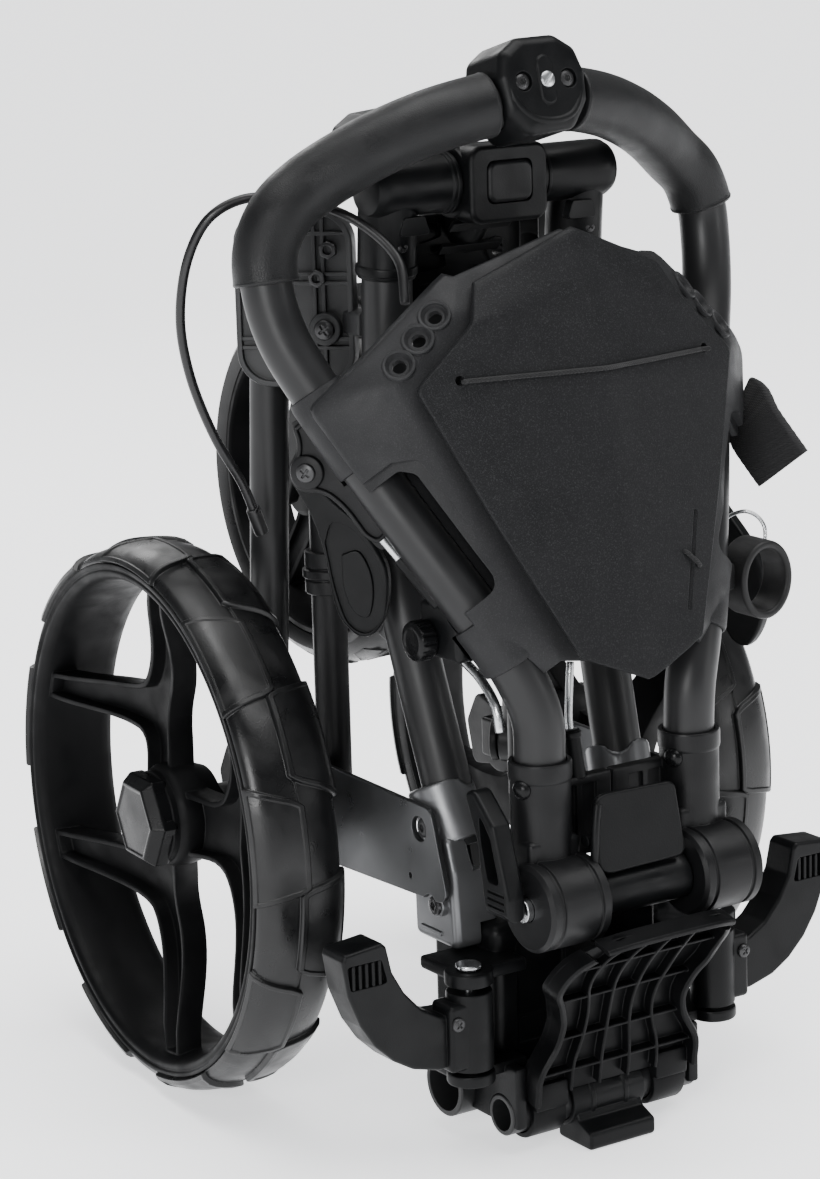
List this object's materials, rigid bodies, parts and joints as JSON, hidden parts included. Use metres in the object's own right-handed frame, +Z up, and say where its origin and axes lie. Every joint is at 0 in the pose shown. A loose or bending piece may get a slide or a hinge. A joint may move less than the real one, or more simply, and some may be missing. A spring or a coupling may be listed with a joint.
{
  "type": "golf push cart",
  "caption": "Folded golf trolley standing upright, with large spoked rear wheels, a folded front wheel, a looped grip handle and a ridged front cover.",
  "frame": {"origin": "centre of the underside of the bounding box, on the floor the folded cart stands on", "axes": "+Z up, -Y towards the front cover, +X to the right when seen from the front cover side"},
  "size_m": [0.3162, 0.4084, 0.5427],
  "materials": {
    "tube": "satin dark grey powder coat",
    "cast": "fine-grained black moulding",
    "satin": "satin black paint",
    "plate": "dark anodised",
    "plastic": "matt black moulding",
    "console": "fine grain charcoal",
    "cover": "speckled charcoal",
    "tyre": "matt black tread",
    "rubber": "matt black",
    "grip": "leather-grained soft grip",
    "steel": "bright",
    "rim": "moulded black",
    "cap": "semi-gloss black",
    "web": "woven black"
  },
  "bodies": {
    "chassis": {"main_tube_left": "tube", "main_tube_right": "tube", "base_moulding": "plastic", "lower_bracket_left": "satin", "lower_bracket_right": "satin", "side_plate_left": "plate", "side_plate_right": "plate", "rear_stay_left": "tube", "rear_stay_right": "tube", "leg_bracket_left": "plastic", "leg_bracket_right": "plastic", "top_hinge_socket_left": "cast", "top_hinge_socket_right": "cast", "top_hinge_pin": "steel", "cross_tube": "tube", "foot_bar": "tube", "stand_foot": "plastic", "hinge_pin": "steel", "cradle_pin_left": "steel", "cradle_pin_right": "steel"},
    "handle": {"handle_tube": "tube", "grip_left": "grip", "grip_right": "grip", "clamp_block": "cast", "clamp_screw": "steel", "handle_socket_left": "cast", "handle_socket_right": "cast", "console": "console", "cover_panel": "cover", "arm_bracket_left": "cast", "arm_bracket_right": "cast", "tension_rod": "steel", "tension_clamp": "plastic", "strap_tab": "web", "strap_ring": "rubber", "brake_cable": "rubber", "elastic_cord": "web"},
    "latch": {"pull_latch": "plastic"},
    "lever": {"cam_lever": "plastic"},
    "button": {"fold_button": "satin"},
    "front_fork": {"front_arm": "cast"},
    "front_wheel": {"front_tyre": "tyre", "front_rim": "rim"},
    "leg_left": {"leg_tube_left": "tube"},
    "leg_right": {"leg_tube_right": "tube"},
    "carrier_left": {"wheel_carrier_left": "cast"},
    "carrier_right": {"wheel_carrier_right": "cast"},
    "wheel_left": {"tyre_left": "tyre", "wheel_rim_left": "rim", "hub_cap_left": "cap"},
    "wheel_right": {"tyre_right": "tyre", "wheel_rim_right": "rim", "hub_cap_right": "cap"},
    "cradle_left": {"cradle_arm_left": "plastic"},
    "cradle_right": {"cradle_arm_right": "plastic"},
    "plate": {"foot_plate": "plastic"},
    "bag_left": {"bag_arm_left": "plastic"},
    "bag_right": {"bag_arm_right": "plastic"},
    "knob": {"tension_knob": "cap"}
  },
  "joints": [
    {"name": "handle_fold", "type": "hinge", "parent": "chassis", "child": "handle", "pos_m": [0, -0.167, 0.138], "axis": [1, 0, 0], "range_deg": [0, 85]},
    {"name": "latch_pull", "type": "hinge", "parent": "handle", "child": "latch", "pos_m": [0, -0.164, 0.164], "axis": [-1, 0, 0], "range_deg": [0, 15], "stiffness_Nm_per_rad": 0.05, "springref_deg": -11.46},
    {"name": "lever_open", "type": "hinge", "parent": "chassis", "child": "lever", "pos_m": [-0.0735, -0.163, 0.14], "axis": [0, -1, 0], "range_deg": [0, 90]},
    {"name": "fork_fold", "type": "hinge", "parent": "chassis", "child": "front_fork", "pos_m": [0, -0.055, 0.472], "axis": [1, 0, 0], "range_deg": [0, 110]},
    {"name": "button_press", "type": "slide", "parent": "front_fork", "child": "button", "axis": [0, 1, 0], "range_m": [0, 0.003], "stiffness_N_per_m": 300, "springref_m": -0.001},
    {"name": "front_wheel_spin", "type": "hinge", "parent": "front_fork", "child": "front_wheel", "pos_m": [0, 0.097, 0.3], "axis": [1, 0, 0], "continuous": true},
    {"name": "leg_left_fold", "type": "hinge", "parent": "chassis", "child": "leg_left", "pos_m": [-0.08, 0.021, 0.44], "axis": [0.7071, 0.7071, 0], "range_deg": [0, 45]},
    {"name": "leg_right_fold", "type": "hinge", "parent": "chassis", "child": "leg_right", "pos_m": [0.08, 0.021, 0.44], "axis": [0.7071, -0.7071, 0], "range_deg": [0, 45]},
    {"name": "carrier_left_level", "type": "hinge", "parent": "leg_left", "child": "carrier_left", "pos_m": [-0.08, 0.042, 0.152], "axis": [0.7071, 0.7071, 0], "range_deg": [-45, 0]},
    {"name": "carrier_right_level", "type": "hinge", "parent": "leg_right", "child": "carrier_right", "pos_m": [0.08, 0.042, 0.152], "axis": [0.7071, -0.7071, 0], "range_deg": [-45, 0]},
    {"name": "wheel_left_spin", "type": "hinge", "parent": "carrier_left", "child": "wheel_left", "pos_m": [-0.127, 0.059, 0.145], "axis": [0.9981, -0.061, 0], "continuous": true},
    {"name": "wheel_right_spin", "type": "hinge", "parent": "carrier_right", "child": "wheel_right", "pos_m": [0.127, 0.059, 0.145], "axis": [0.9981, 0.061, 0], "continuous": true},
    {"name": "cradle_left_swing", "type": "hinge", "parent": "chassis", "child": "cradle_left", "pos_m": [-0.075, -0.132, 0.07], "axis": [0, 0, 1], "range_deg": [0, 60]},
    {"name": "cradle_right_swing", "type": "hinge", "parent": "chassis", "child": "cradle_right", "pos_m": [0.075, -0.132, 0.07], "axis": [0, 0, -1], "range_deg": [0, 60]},
    {"name": "plate_fold", "type": "hinge", "parent": "chassis", "child": "plate", "pos_m": [0, -0.131, 0.021], "axis": [1, 0, 0], "range_deg": [0, 55]},
    {"name": "bag_left_swing", "type": "hinge", "parent": "handle", "child": "bag_left", "pos_m": [-0.1052, -0.0492, 0.338], "axis": [0.7071, 0.7071, 0], "range_deg": [0, 20]},
    {"name": "bag_right_swing", "type": "hinge", "parent": "handle", "child": "bag_right", "pos_m": [0.124, -0.04, 0.338], "axis": [-0.9368, -0.3499, 0], "range_deg": [0, 8]},
    {"name": "knob_turn", "type": "hinge", "parent": "handle", "child": "knob", "pos_m": [-0.0784, -0.11, 0.262], "axis": [-1, 0, 0], "continuous": true}
  ],
  "couplings": [
    {"joint": "leg_right_fold", "follows": "leg_left_fold", "ratio": 1},
    {"joint": "carrier_left_level", "follows": "leg_left_fold", "ratio": -1},
    {"joint": "carrier_right_level", "follows": "leg_left_fold", "ratio": -1}
  ]
}
